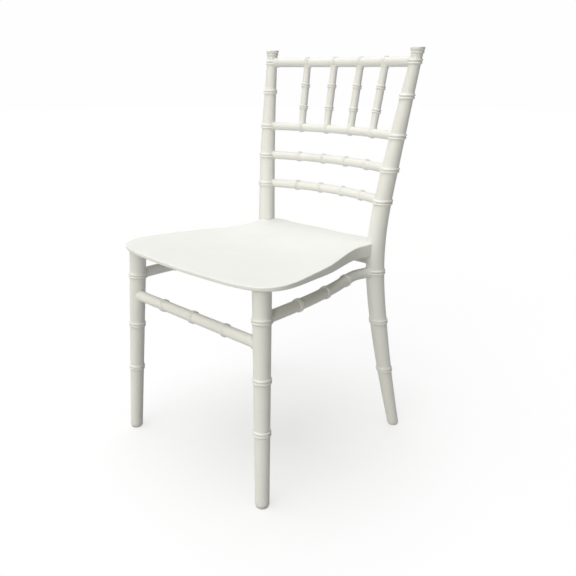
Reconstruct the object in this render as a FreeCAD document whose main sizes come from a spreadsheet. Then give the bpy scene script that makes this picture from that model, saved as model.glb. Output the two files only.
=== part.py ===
import FreeCAD, Part
import math
import os

import Sketcher
from FreeCAD import Placement, Rotation, Vector

# Chiavari chair in moulded resin, millimetres.
# +Z is up and the chair faces -Y, so +X is on the sitter's left.
# The origin is on the floor, under the middle of the whole chair.

doc = FreeCAD.newDocument("ChiavariChair")

# Driving dimensions

DRIVING = [
    # Rear posts: plan place of the axis and radius, from foot to crown
    ("post_foot_x", 236.0), ("post_foot_y", 196.4), ("post_foot_radius", 13.8),
    ("post_shin_x", 215.5), ("post_shin_y", 174.4), ("post_shin_radius", 17.4),
    ("post_calf_x", 199.0), ("post_calf_y", 162.9), ("post_calf_radius", 20.2),
    ("post_knee_x", 183.5), ("post_knee_y", 162.4), ("post_knee_radius", 21.6),
    ("post_waist_x", 182.0), ("post_waist_y", 164.4), ("post_waist_radius", 21.3),
    ("post_back_x", 195.5), ("post_back_y", 183.9), ("post_back_radius", 19.1),
    ("post_crown_x", 219.8), ("post_crown_y", 229.5), ("post_crown_radius", 14.0),
    ("post_shin_height", 156.0), ("post_calf_height", 282.0), ("post_knee_height", 403.0),
    ("post_waist_height", 470.0), ("post_back_height", 640.0), ("post_crown_height", 888.0),
    ("overall_height", 899.0),
    # Heights of the rails and of the rings that mark them
    ("crest_height", 869.0), ("spindle_ring_height", 797.0), ("spindle_rail_height", 712.0),
    ("upper_rail_height", 639.0), ("lower_rail_height", 567.0),
    ("rail_bow", 42.0), ("knuckle_count", 4.0), ("knuckle_share", 0.36),
    ("crest_radius", 11.0), ("spindle_rail_radius", 10.0),
    ("upper_rail_radius", 10.4), ("lower_rail_radius", 10.6),
    ("socket_floor", 4.0),
    # Back spindles
    ("spindle_radius", 9.0), ("spindle_waist", 8.3), ("spindle_pin_radius", 4.0),
    ("spindle_sink", 4.0), ("spindle_upper_ring", 0.645), ("spindle_lower_ring", 0.31),
    # Front legs
    ("leg_top_x", 205.0), ("leg_top_y", -229.6), ("leg_foot_x", 228.0), ("leg_foot_y", -259.6),
    ("leg_top_height", 466.0), ("leg_top_radius", 19.2), ("leg_foot_radius", 14.9),
    ("leg_ring_high", 396.0), ("leg_ring_middle", 274.0), ("leg_ring_low", 162.0),
    ("leg_plug_radius", 13.0), ("leg_plug_length", 46.0),
    # Stretchers
    ("front_stretcher_height", 350.0), ("front_stretcher_radius", 12.0),
    ("front_knuckle_pitch", 104.0), ("side_stretcher_height", 401.0),
    ("side_stretcher_radius", 12.2),
    ("side_fore_x", 204.5), ("side_fore_y", -128.6), ("side_mid_x", 194.0), ("side_mid_y", -31.6),
    ("side_aft_x", 175.0), ("side_aft_y", 60.4), ("side_neck_x", 167.0), ("side_neck_y", 111.4),
    # Double rings and knuckles
    ("ring_half_width", 6.0), ("ring_stand", 3.0), ("leg_ring_stand", 2.4),
    ("knuckle_half_width", 4.6), ("knuckle_stand", 2.4), ("ring_root", 2.5),
    # Seat shell
    ("seat_front_y", -277.6), ("seat_back_y", 180.4), ("seat_half_width", 249.0),
    ("seat_waist_x", 180.0), ("seat_waist_y", 98.4), ("seat_hip_x", 222.0), ("seat_hip_y", -49.6),
    ("seat_rim_height", 474.0), ("seat_dish", 13.0), ("seat_lip_drop", 5.0),
    ("seat_lip", 6.5),
    ("seat_thickness", 6.0), ("seat_wall", 4.5), ("seat_edge_round", 2.2),
    ("rib_thickness", 3.0), ("rib_bottom_height", 447.0), ("rib_pitch", 62.0),
    ("boss_radius", 8.0), ("boss_x", 105.0), ("boss_length", 18.0),
    ("screw_radius", 2.4), ("screw_head_radius", 4.4), ("screw_head_height", 2.6), ("rail_screw_length", 38.0), ("leg_screw_length", 19.0),
    ("leg_screw_height", 446.0),
    # Rail under the back edge of the seat
    ("seat_rail_height", 24.0), ("seat_rail_depth", 22.0), ("seat_rail_bottom", 418.0),
    ("seat_rail_y", 162.4), ("seat_rail_round", 6.0),
    # Foot glides
    ("glide_height", 3.0), ("glide_stem_radius", 5.0), ("glide_stem_length", 14.0),
    ("glide_inset", 1.6),
]

sheet = doc.addObject("Spreadsheet::Sheet", "Sizes")
for row, (alias, number) in enumerate(DRIVING, start=1):
    sheet.set(f"A{row}", alias)
    sheet.set(f"B{row}", str(number))
    sheet.setAlias(f"B{row}", alias)
doc.recompute()


class Size:
    """A number together with the sheet formula that drives it."""

    def __init__(self, value, formula):
        self.value = value
        self.formula = formula

    def _joined(self, other, sign, value):
        other = other if isinstance(other, Size) else Size(other, str(other))
        return Size(value(self.value, other.value), f"({self.formula} {sign} {other.formula})")

    def __add__(self, other):
        return self._joined(other, "+", lambda a, b: a + b)

    def __sub__(self, other):
        return self._joined(other, "-", lambda a, b: a - b)

    def __mul__(self, other):
        return self._joined(other, "*", lambda a, b: a * b)


def size(alias):
    """A driving dimension, to bind a sketch or a feature to."""
    return Size(float(sheet.get(alias)), f"Sizes.{alias}")


def mm(alias):
    """The plain value of a driving dimension."""
    return float(sheet.get(alias))


# Sketches and features


def new_body(name):
    body = doc.addObject("PartDesign::Body", name)
    body.Label = name
    return body


def origin_feature(body, role):
    return next(item for item in body.Origin.OriginFeatures if item.Role == role)


def new_sketch(body, name, role="XY_Plane", offset=None):
    sketch = body.newObject("Sketcher::SketchObject", name)
    sketch.AttachmentSupport = [(origin_feature(body, role), "")]
    sketch.MapMode = "FlatFace"
    if offset is not None:
        sketch.AttachmentOffset = offset
    return sketch


def bind(sketch, index, name, formula):
    sketch.renameConstraint(index, name)
    sketch.setExpression(f"Constraints.{name}", formula)


def closed_outline(sketch, corners):
    """Draw straight sides through corners, each a pair of Sizes, and drive every corner."""
    points = [Vector(across.value, along.value, 0) for across, along in corners]
    for start, end in zip(points, points[1:] + points[:1]):
        sketch.addGeometry(Part.LineSegment(start, end), False)
    count = len(points)
    for side in range(count):
        sketch.addConstraint(Sketcher.Constraint("Coincident", side, 2, (side + 1) % count, 1))
    for side, (across, along) in enumerate(corners):
        for kind, length, axis in (("DistanceX", across, -2), ("DistanceY", along, -1)):
            if abs(length.value) < 1e-9:
                sketch.addConstraint(Sketcher.Constraint("PointOnObject", side, 1, axis))
            else:
                index = sketch.addConstraint(
                    Sketcher.Constraint(kind, -1, 1, side, 1, length.value))
                bind(sketch, index, f"{kind}{side}", length.formula)


def circle_sketch(body, name, radius, offset):
    sketch = new_sketch(body, name, offset=offset)
    sketch.addGeometry(Part.Circle(Vector(), Vector(0, 0, 1), radius.value), False)
    sketch.addConstraint(Sketcher.Constraint("Coincident", 0, 3, -1, 1))
    index = sketch.addConstraint(Sketcher.Constraint("Radius", 0, radius.value))
    bind(sketch, index, "radius", radius.formula)
    return sketch


def revolve(body, sketch, name):
    turned = body.newObject("PartDesign::Revolution", name)
    turned.Profile = sketch
    turned.ReferenceAxis = (sketch, ["V_Axis"])
    turned.Angle = 360
    return turned


def frame_along(place, direction):
    """A placement whose Z axis points along direction."""
    return Placement(place, Rotation(Vector(0, 0, 1), direction))


TURN_UPRIGHT = Placement(Vector(), Rotation(Vector(1, 0, 0), 90))


def ring(body, name, radius, half_width, stand, frame=None, height=None, sunk=0.2):
    """A double ring: two crests with a groove between them, turned about the frame's Z axis.

    Its outer edges start a little below the member's surface.
    """
    middle = height if height is not None else Size(0, "0")
    root = radius - size("ring_root")
    foot = radius - sunk
    corners = [
        (root, middle - half_width), (foot, middle - half_width),
        (radius + stand, middle - half_width * 0.5), (radius + stand * 0.1, middle),
        (radius + stand, middle + half_width * 0.5), (foot, middle + half_width),
        (root, middle + half_width),
    ]
    if frame is None:
        sketch = new_sketch(body, f"{name}_outline", "XZ_Plane")
    else:
        sketch = new_sketch(body, f"{name}_outline", "XY_Plane", frame.multiply(TURN_UPRIGHT))
    closed_outline(sketch, corners)
    return revolve(body, sketch, name)


def final(obj, label):
    """Give a finished object the label that names its node."""
    obj.Label = label
    finished[label] = obj
    return obj


def joined(name, pieces):
    """Fuse the pieces, one after another."""
    whole = pieces[0]
    for number, piece in enumerate(pieces[1:], start=1):
        fused = doc.addObject("Part::Fuse", f"{name}_{number}")
        fused.Base = whole
        fused.Tool = piece
        fused.Refine = False
        whole = fused
    return whole


def cut_away(name, base, tools):
    """Cut the tools from the base, one after another."""
    remaining = base
    for number, tool in enumerate(tools, start=1):
        cut = doc.addObject("Part::Cut", f"{name}_{number}")
        cut.Base = remaining
        cut.Tool = tool
        cut.Refine = False
        remaining = cut
    return remaining


def rod(name, radius, length, frame):
    """A plain cylinder along the frame's Z axis."""
    cylinder = doc.addObject("Part::Cylinder", name)
    cylinder.setExpression("Radius", radius.formula)
    cylinder.setExpression("Height", length.formula)
    cylinder.Placement = frame
    return cylinder


finished = {}

# Curved members: a circle that changes size along a smooth axis


class Axis:
    """A smooth curve through a few named places, read by its height or its depth."""

    def __init__(self, places, reading):
        self.curve = Part.BSplineCurve()
        self.curve.interpolate([place for place, _ in places])
        self.readings = [reading(place) for place, _ in places]
        self.radii = [radius for _, radius in places]
        self.reading = reading

    def frame(self, wanted):
        """The placement on the axis where the reading has the wanted value."""
        low, high = self.curve.FirstParameter, self.curve.LastParameter
        for _ in range(50):
            middle = 0.5 * (low + high)
            if self.reading(self.curve.value(middle)) < wanted:
                low = middle
            else:
                high = middle
        return frame_along(self.curve.value(low), self.curve.tangent(low)[0])

    def level(self, wanted):
        """The same place with its Z axis upright."""
        return Placement(self.frame(wanted).Base, Rotation())

    def radius(self, wanted):
        """The radius there, blended between the two nearest places."""
        for index in range(len(self.readings) - 1):
            below, above = self.readings[index], self.readings[index + 1]
            if wanted <= above or index == len(self.readings) - 2:
                share = (wanted - below) / (above - below)
                first, second = self.radii[index], self.radii[index + 1]
                return first * round(1 - share, 4) + second * round(share, 4)


def arc_from(start, tangent, end):
    """An arc, or a line where the two agree, that leaves start along tangent and ends at end."""
    chord = end - start
    turn = math.atan2(chord.x * tangent.y - chord.y * tangent.x, chord.dot(tangent))
    if abs(turn) < 1e-3:
        return Part.LineSegment(start, end)
    outwards = Vector(-chord.y, chord.x, 0).normalize()
    middle = (start + end) * 0.5 + outwards * (0.5 * chord.Length * math.tan(0.5 * turn))
    return Part.Arc(start, middle, end)


def arcs_through(axis, stations):
    """Pairs of tangent arcs that follow a flat axis from station to station."""
    pieces = []
    frames = [axis.frame(station) for station in stations]
    for first, second in zip(frames, frames[1:]):
        start, end = first.Base, second.Base
        leave = first.Rotation.multVec(Vector(0, 0, 1))
        arrive = second.Rotation.multVec(Vector(0, 0, 1))
        chord, both = end - start, leave + arrive
        bend = 2 * (1 - leave.dot(arrive))
        along = chord.dot(both)
        if bend < 1e-9:
            reach = chord.dot(chord) / (2 * along)
        else:
            reach = (math.sqrt(along ** 2 + bend * chord.dot(chord)) - along) / bend
        meeting = (start + leave * reach + end - arrive * reach) * 0.5
        turned = arc_from(end, arrive * -1, meeting)
        pieces += [arc_from(start, leave, meeting), turned]
    return pieces


def curved_member(name, axis, stations):
    """Loft a round member through level circles at the given heights of its axis."""
    body = new_body(name)
    circles = [
        circle_sketch(body, f"{name}_section_{number}", axis.radius(station), axis.level(station))
        for number, station in enumerate(stations)
    ]
    loft = body.newObject("PartDesign::AdditiveLoft", f"{name}_loft")
    loft.Profile = circles[0]
    loft.Sections = [(circle, [""]) for circle in circles[1:]]
    loft.Ruled = False
    return body


# Rear posts, from foot to crown

POST_STATIONS = ["shin", "calf", "knee", "waist", "back", "crown"]
POST_RING_HEIGHTS = [
    "post_shin_height", "post_calf_height", "post_knee_height", "lower_rail_height",
    "upper_rail_height", "spindle_rail_height", "spindle_ring_height", "crest_height",
]


def post_axis(side):
    foot_height = mm("glide_height")
    places = [(Vector(side * mm("post_foot_x"), mm("post_foot_y"), foot_height),
               size("post_foot_radius"))]
    for station in POST_STATIONS:
        place = Vector(side * mm(f"post_{station}_x"), mm(f"post_{station}_y"),
                       mm(f"post_{station}_height"))
        places.append((place, size(f"post_{station}_radius")))
    return Axis(places, lambda place: place.z)


def finial(body, name, axis):
    """Collar and flat cushion cap on the crown, as one upright turning."""
    frame = axis.level(mm("post_crown_height"))
    neck = size("post_crown_radius")
    rise = size("overall_height") - size("post_crown_height")
    base = Size(0, "0")
    corners = [
        (base, base - 8.0), (neck - 3.0, base - 8.0), (neck - 1.5, base - 5.4),
        (neck + 1.4, base - 4.4), (neck + 1.4, base - 2.6), (neck - 0.6, base - 1.2),
        (neck + 2.4, base + 1.8), (neck + 3.4, rise - 4.0), (neck + 2.8, rise - 1.0),
        (neck + 1.0, rise), (base, rise),
    ]
    sketch = new_sketch(body, f"{name}_cap_outline", "XY_Plane", frame.multiply(TURN_UPRIGHT))
    closed_outline(sketch, corners)
    return revolve(body, sketch, f"{name}_cap")


def rear_post(name, side):
    axis = post_axis(side)
    heights = [mm(alias) for alias in POST_RING_HEIGHTS]
    between = [0.5 * (low + high) for low, high in zip(heights, heights[1:])]
    ends = [mm("glide_height"), 0.5 * heights[0], mm("post_crown_height")]
    body = curved_member(name, axis, sorted(heights + between + ends))
    for number, height in enumerate(heights):
        stand = size("ring_stand") if height > mm("post_waist_height") else size("leg_ring_stand")
        ring(body, f"{name}_ring_{number}", axis.radius(height), size("ring_half_width"),
             stand, frame=axis.level(height), sunk=1.6)
    finial(body, name, axis)
    return body, axis


posts = {}
for side_name, side in (("left", 1), ("right", -1)):
    posts[side] = rear_post(f"post_{side_name}_turned", side)

# Front legs: straight turned tapers, splayed outwards and forwards


def leg_frame(side):
    foot = Vector(side * mm("leg_foot_x"), mm("leg_foot_y"), mm("glide_height"))
    top = Vector(side * mm("leg_top_x"), mm("leg_top_y"), mm("leg_top_height"))
    return frame_along(foot, top - foot), (top - foot).Length


def front_leg(name, side):
    body = new_body(name)
    frame, _ = leg_frame(side)
    base = Size(0, "0")
    length = size("leg_top_height") + 2.0
    sketch = new_sketch(body, f"{name}_taper_outline", "XZ_Plane")
    closed_outline(sketch, [
        (base, base), (size("leg_foot_radius") - 1.5, base),
        (size("leg_foot_radius"), base + 2.0), (size("leg_top_radius"), length), (base, length),
    ])
    revolve(body, sketch, f"{name}_taper")
    slope = (mm("leg_top_radius") - mm("leg_foot_radius")) / mm("leg_top_height")
    for alias in ("leg_ring_high", "leg_ring_middle", "leg_ring_low"):
        radius = size("leg_foot_radius") + size(alias) * round(slope, 5)
        ring(body, f"{name}_{alias}", radius, size("ring_half_width"), size("leg_ring_stand"),
             height=size(alias))
    body.Placement = frame
    return body


legs = {}
for side_name, side in (("left", 1), ("right", -1)):
    legs[side] = front_leg(f"leg_{side_name}_turned", side)

# Back rails: round rods bowed backwards, with evenly pitched knuckles


def bowed_rail(name, height_alias, radius_alias):
    """A rod along an arc that ends in a socket just short of each post's axis.

    Its own origin is the centre of the bow.
    """
    _, axis = posts[1]
    end = axis.frame(mm(height_alias)).Base
    bow = mm("rail_bow")
    bow_radius = (end.x ** 2 + bow ** 2) / (2 * bow)
    half_angle = math.degrees(math.asin(end.x / bow_radius))
    pitch_angle = half_angle * mm("knuckle_share")
    rod_angle = half_angle - math.degrees(mm("socket_floor") / bow_radius)
    body = new_body(name)
    spine = new_sketch(body, f"{name}_spine", "XY_Plane")
    spine.addGeometry(Part.ArcOfCircle(
        Part.Circle(Vector(), Vector(0, 0, 1), bow_radius),
        math.radians(90 - rod_angle), math.radians(90 + rod_angle)), False)
    start = Rotation(Vector(0, 0, 1), -rod_angle)
    facing = Rotation(Vector(0, 1, 0), -90)
    profile = circle_sketch(body, f"{name}_profile", size(radius_alias),
                            Placement(start.multVec(Vector(0, bow_radius, 0)),
                                      start.multiply(facing)))
    pipe = body.newObject("PartDesign::AdditivePipe", f"{name}_rod")
    pipe.Profile = profile
    pipe.Spine = spine
    first = Rotation(Vector(0, 0, 1), -1.5 * pitch_angle)
    knuckle = ring(body, f"{name}_knuckle", size(radius_alias), size("knuckle_half_width"),
                   size("knuckle_stand"),
                   frame=Placement(first.multVec(Vector(0, bow_radius, 0)),
                                   first.multiply(facing)))
    pattern = body.newObject("PartDesign::PolarPattern", f"{name}_knuckles")
    pattern.Originals = [knuckle]
    pattern.Axis = (origin_feature(body, "Z_Axis"), [""])
    pattern.Angle = 3 * pitch_angle
    pattern.Occurrences = int(mm("knuckle_count"))
    body.Tip = pattern
    centre = Vector(0, end.y + bow - bow_radius, mm(height_alias))
    body.Placement = Placement(centre, Rotation())
    places = [centre + Rotation(Vector(0, 0, 1), (index - 1.5) * pitch_angle)
              .multVec(Vector(0, bow_radius, 0)) for index in range(4)]
    return body, places


RAILS = {
    "crest_rail": ("crest_height", "crest_radius"),
    "spindle_rail": ("spindle_rail_height", "spindle_rail_radius"),
    "upper_back_rail": ("upper_rail_height", "upper_rail_radius"),
    "lower_back_rail": ("lower_rail_height", "lower_rail_radius"),
}
rails = {name: bowed_rail(f"{name}_bent", *aliases) for name, aliases in RAILS.items()}
doc.recompute()

# Floor level under the feet, where every leg and post is cut flat


def box(name, low, high):
    block = doc.addObject("Part::Box", name)
    block.Length, block.Width, block.Height = high - low
    block.Placement = Placement(low, Rotation())
    return block


def below_feet(name, x, y):
    reach = Vector(40, 40, 0)
    return box(name, Vector(x, y, -30) - reach, Vector(x, y, mm("glide_height")) + reach)


def shifted(frame, along):
    return frame.multiply(Placement(Vector(0, 0, along), Rotation()))


# Back spindles: slim turnings between the crest rail and the spindle rail


def back_spindle(name, bottom, top):
    """A barrel with two rings and a pin at each end; its frame starts on the lower rail's axis."""
    body = new_body(name)
    length = (top - bottom).Length
    base = Size(0, "0")
    full = base + round(length, 2)
    end, pin = size("spindle_waist"), size("spindle_pin_radius")
    sink = size("spindle_sink")
    low_shoulder = size("spindle_rail_radius") - sink
    high_shoulder = full - size("crest_radius") + sink
    sketch = new_sketch(body, f"{name}_barrel_outline", "XZ_Plane")
    lower, upper = full * mm("spindle_lower_ring"), full * mm("spindle_upper_ring")
    closed_outline(sketch, [
        (base, base), (pin, base), (pin, low_shoulder), (end, low_shoulder),
        (size("spindle_radius"), lower), (size("spindle_radius"), upper),
        (end, high_shoulder), (pin, high_shoulder), (pin, full), (base, full),
    ])
    revolve(body, sketch, f"{name}_barrel")
    for number, height in enumerate((lower, upper)):
        ring(body, f"{name}_ring_{number}", size("spindle_radius"), size("knuckle_half_width"),
             size("knuckle_stand"), height=height)
    body.Placement = frame_along(bottom, top - bottom)
    return body


spindles = [
    back_spindle(f"spindle_{number + 1}_turned", rails["spindle_rail"][1][number],
                 rails["crest_rail"][1][number])
    for number in range(4)
]

# Stretchers


def place_on_leg(side, height):
    """The point of a front leg's axis at that height."""
    frame, length = leg_frame(side)
    rise = mm("leg_top_height") - mm("glide_height")
    return shifted(frame, length * (height - mm("glide_height")) / rise).Base


def front_stretcher(name):
    """A straight rod with three knuckles, drawn from its middle, housed in both legs."""
    end = place_on_leg(1, mm("front_stretcher_height"))
    half = Size(round(end.x, 2), str(round(end.x, 2))) - size("socket_floor")
    body = new_body(name)
    base = Size(0, "0")
    radius = size("front_stretcher_radius")
    sketch = new_sketch(body, f"{name}_rod_outline", "XZ_Plane")
    closed_outline(sketch, [(base, base - half), (radius, base - half),
                            (radius, half), (base, half)])
    revolve(body, sketch, f"{name}_rod")
    for number in (-1, 0, 1):
        ring(body, f"{name}_knuckle_{number + 2}", radius, size("knuckle_half_width"),
             size("knuckle_stand"), height=size("front_knuckle_pitch") * number)
    body.Placement = frame_along(Vector(0, end.y, end.z), Vector(1, 0, 0))
    return body


def side_stretcher(name, side):
    """A level rod that follows the waist of the seat, housed in the front leg and the post."""
    height = mm("side_stretcher_height")
    leg_end = place_on_leg(side, height)
    post_end = posts[side][1].frame(height).Base
    radius = size("side_stretcher_radius")
    floor_gap = mm("socket_floor")
    places = [Vector(leg_end.x, leg_end.y + floor_gap, 0)]
    for station in ("fore", "mid", "aft", "neck"):
        places.append(Vector(side * mm(f"side_{station}_x"), mm(f"side_{station}_y"), 0))
    places.append(Vector(post_end.x, post_end.y - floor_gap, 0))
    axis = Axis([(place, radius) for place in places], lambda place: place.y)
    body = new_body(name)
    spine = new_sketch(body, f"{name}_spine", "XY_Plane")
    for piece in arcs_through(axis, [place.y for place in places]):
        spine.addGeometry(piece, False)
    pipe = body.newObject("PartDesign::AdditivePipe", f"{name}_rod")
    pipe.Profile = circle_sketch(body, f"{name}_profile", radius, axis.frame(places[0].y))
    pipe.Spine = spine
    for station in ("fore", "mid", "aft"):
        ring(body, f"{name}_{station}_knuckle", radius, size("knuckle_half_width"),
             size("knuckle_stand"), frame=axis.frame(mm(f"side_{station}_y")))
    body.Placement = Placement(Vector(0, 0, height), Rotation())
    return body


stretcher = front_stretcher("front_stretcher_turned")
side_stretchers = {
    side: side_stretcher(f"side_stretcher_{side_name}_bent", side)
    for side_name, side in (("left", 1), ("right", -1))
}

# Rail under the back edge of the seat


def seat_rail(name):
    """A rounded bar between the posts that carries the back of the seat."""
    post_x = posts[1][1].frame(mm("seat_rail_bottom") + 0.5 * mm("seat_rail_height")).Base.x
    body = new_body(name)
    sketch = new_sketch(body, f"{name}_outline", "YZ_Plane")
    middle = size("seat_rail_y")
    low = size("seat_rail_bottom")
    half = size("seat_rail_depth") * 0.5
    top = low + size("seat_rail_height")
    closed_outline(sketch, [(middle - half, low), (middle + half, low),
                            (middle + half, top), (middle - half, top)])
    bar = body.newObject("PartDesign::Pad", f"{name}_bar")
    bar.Profile = sketch
    bar.SideType = "Symmetric"
    bar.Length = 2 * (post_x - mm("socket_floor"))
    doc.recompute()
    long_edges = [f"Edge{number}" for number, edge in enumerate(bar.Shape.Edges, start=1)
                  if edge.BoundBox.XLength > post_x]
    rounding = body.newObject("PartDesign::Fillet", f"{name}_rounding")
    rounding.Base = (bar, long_edges)
    rounding.setExpression("Radius", size("seat_rail_round").formula)
    return body


under_rail = seat_rail("rear_seat_rail_bar")

# Seat shell: a saddle surface trimmed to the outline, hollowed from below


def seat_outline(inset):
    """The plan of the seat as one smooth closed curve, drawn inset by the wall where wanted."""
    front, back = mm("seat_front_y") + inset, mm("seat_back_y") - inset
    wide, waist = mm("seat_half_width") - inset, mm("seat_waist_x") - inset
    hip, waist_y = mm("seat_hip_x") - inset, mm("seat_waist_y")
    right = [
        Vector(95, front + 3.5, 0), Vector(wide - 59, front + 14, 0),
        Vector(wide - 23, front + 30, 0), Vector(wide - 4, front + 58, 0),
        Vector(wide, front + 90, 0), Vector(wide - 9, front + 148, 0),
        Vector(hip, mm("seat_hip_y"), 0), Vector(waist + 15, waist_y - 69, 0),
        Vector(waist + 2, waist_y - 25, 0), Vector(waist - 1, waist_y + 15, 0),
        Vector(waist + 4, back - 32, 0), Vector(waist - 6, back - 12, 0), Vector(80, back - 3, 0),
    ]
    left = [Vector(-place.x, place.y, 0) for place in reversed(right)]
    curve = Part.BSplineCurve()
    curve.interpolate(Points=[Vector(0, front, 0)] + right + [Vector(0, back, 0)] + left,
                      PeriodicFlag=True)
    return Part.Wire([curve.toShape()])


def seat_height(x, y):
    """Height of the top surface: level rim, a dish in the middle and a rolled front lip."""
    across = min(1.0, abs(x) / mm("seat_half_width"))
    share = (y - mm("seat_front_y")) / (mm("seat_back_y") - mm("seat_front_y"))
    share = min(1.0, max(0.0, share))
    sides_free = 1 - across ** 2
    dish = mm("seat_dish") * sides_free * math.sin(math.pi * share) ** 1.2
    lip = mm("seat_lip_drop") * sides_free * (1 - share) ** 5
    return mm("seat_rim_height") - dish - lip


def skirt_height(x, y):
    """Height of the skirt's lower edge: the rim is thin in front and deep at the posts."""
    share = (y - mm("seat_front_y")) / (mm("seat_back_y") - mm("seat_front_y"))
    share = min(1.1, max(0.0, share))
    return seat_height(x, y) - mm("seat_lip") - 6.5 * share - 18 * share ** 3


def height_surface(height):
    """A smooth face over the whole seat whose height follows the given rule."""
    rows = [[Vector(x, y, height(x, y)) for y in range(-320, 231, 50)]
            for x in range(-280, 281, 56)]
    surface = Part.BSplineSurface()
    surface.interpolate(rows)
    return surface.toShape()


def prism(wire, low, high):
    floor = Part.Face(wire)
    floor.translate(Vector(0, 0, low))
    return floor.extrude(Vector(0, 0, high - low))


def seat_ribs():
    """Thin ribs across and along the underside."""
    half = 0.5 * mm("rib_thickness")
    low, high = mm("rib_bottom_height"), mm("seat_rim_height")
    reach_x, front, back = 165.0, -212.0, 133.0
    plates = []
    for step in (-2, -1, 0, 1, 2):
        x = step * mm("rib_pitch")
        plates.append(Part.makeBox(2 * half, back - front, high - low,
                                   Vector(x - half, front, low)))
    for step in (-3, -1, 1, 3):
        y = -42 + step * 0.5 * mm("rib_pitch") * 1.6
        plates.append(Part.makeBox(2 * reach_x, 2 * half, high - low,
                                   Vector(-reach_x, y - half, low)))
    return plates


def seat_blank():
    top_face = height_surface(seat_height)
    under_face = height_surface(seat_height)
    under_face.translate(Vector(0, 0, -mm("seat_thickness")))
    deep = Vector(0, 0, -120)
    outer = prism(seat_outline(0), 380, 520).common(top_face.extrude(deep))
    outer = outer.cut(height_surface(skirt_height).extrude(deep))
    rim = [edge for edge in outer.Edges
           if edge.BoundBox.ZMin > mm("seat_rim_height") - 10 and edge.Length > 1000]
    rounded = outer.makeFillet(mm("seat_edge_round"), rim)
    hollow = prism(seat_outline(mm("seat_wall")), 380, 520).common(under_face.extrude(deep))
    boss_foot = mm("seat_rail_bottom") + mm("seat_rail_height")
    boss_places = [Vector(side * mm("boss_x"), mm("seat_rail_y"), boss_foot) for side in (1, -1)]
    hollow = hollow.cut(seat_ribs() + [
        Part.makeCylinder(mm("boss_radius"), 60, place) for place in boss_places])
    shell = rounded.cut(hollow)
    for place in boss_places:
        shell = shell.fuse(Part.makeCylinder(mm("boss_radius"), mm("boss_length"), place))
    return shell


seat_saddle = doc.addObject("Part::Feature", "seat_saddle")
seat_saddle.Shape = seat_blank()
above_skirt = doc.addObject("Part::Feature", "above_skirt")
above_skirt.Shape = height_surface(skirt_height).extrude(Vector(0, 0, 60))


def leg_plug(name, side):
    """The plug under the seat's corner that fills the top of a leg."""
    frame, length = leg_frame(side)
    return rod(name, size("leg_plug_radius"), size("leg_plug_length"),
               shifted(frame, length - mm("leg_plug_length") + 4))


# Screws and foot glides


def turned_piece(name, corners, frame):
    body = new_body(name)
    sketch = new_sketch(body, f"{name}_outline", "XZ_Plane")
    closed_outline(sketch, corners)
    revolve(body, sketch, f"{name}_turning")
    body.Placement = frame
    return body


def screw(name, length, frame):
    """A pan-head screw that points along the frame's Z axis, with its head behind the origin."""
    base = Size(0, "0")
    shank, head = size("screw_radius"), size("screw_head_radius")
    return turned_piece(name, [
        (base, base - size("screw_head_height")), (head - 1.4, base - size("screw_head_height")),
        (head, base - 0.8), (head, base), (shank, base), (shank, length - 3.0),
        (shank * 0.25, length), (base, length),
    ], frame)


def foot_glide(name, place, foot_radius):
    """A hard disc under the foot, with a stem pressed up into it."""
    base = Size(0, "0")
    stem, disc = size("glide_stem_radius"), foot_radius - size("glide_inset")
    rise = size("glide_height")
    top = rise + size("glide_stem_length")
    return turned_piece(name, [
        (base, base), (disc - 1.2, base), (disc, base + 1.2), (disc, rise), (stem, rise),
        (stem, top), (base, top),
    ], Placement(Vector(place.x, place.y, 0), Rotation()))


SIDES = (("left", 1), ("right", -1))

glides = {}
for side_name, side in SIDES:
    leg_foot, post_foot = leg_frame(side)[0].Base, posts[side][1].frame(mm("glide_height")).Base
    glides["front", side] = foot_glide(f"foot_glide_front_{side_name}", leg_foot,
                                       size("leg_foot_radius"))
    glides["rear", side] = foot_glide(f"foot_glide_rear_{side_name}", post_foot,
                                      size("post_foot_radius"))

leg_screws, rail_screws = {}, {}
for side_name, side in SIDES:
    frame, length = leg_frame(side)
    share = mm("leg_screw_height") / mm("leg_top_height")
    inward = Vector(-side, 1, 0).normalize()
    head_place = shifted(frame, length * share).Base + inward * (mm("leg_top_radius") - 0.6)
    leg_screws[side] = screw(f"leg_screw_{side_name}", size("leg_screw_length"),
                             frame_along(head_place, -inward))
    rail_place = Vector(side * mm("boss_x"), mm("seat_rail_y"), mm("seat_rail_bottom"))
    rail_screws[side] = screw(f"rail_screw_{side_name}", size("rail_screw_length"),
                              frame_along(rail_place, Vector(0, 0, 1)))

# Joints: rails and stretchers are housed in sockets cut to their own shape

for rail_name, (bent, _) in rails.items():
    if rail_name in ("crest_rail", "spindle_rail"):
        bent = cut_away(f"{rail_name}_socketed", bent, spindles)
    final(bent, rail_name)
for number, turned in enumerate(spindles, start=1):
    final(turned, f"back_spindle_{number}")
final(stretcher, "front_stretcher")
for side_name, side in SIDES:
    final(side_stretchers[side], f"side_stretcher_{side_name}")
final(cut_away("rear_seat_rail_drilled", under_rail, list(rail_screws.values())),
      "rear_seat_rail")

leg_plugs = {side: leg_plug(f"leg_plug_{side_name}", side) for side_name, side in SIDES}
plugged = joined("seat_plugged", [seat_saddle] + list(leg_plugs.values()))
seat_trimmed = cut_away("seat_trimmed", plugged, [
    posts[1][0], posts[-1][0], *leg_screws.values(), *rail_screws.values()])
final(seat_trimmed, "seat_shell")

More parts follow.
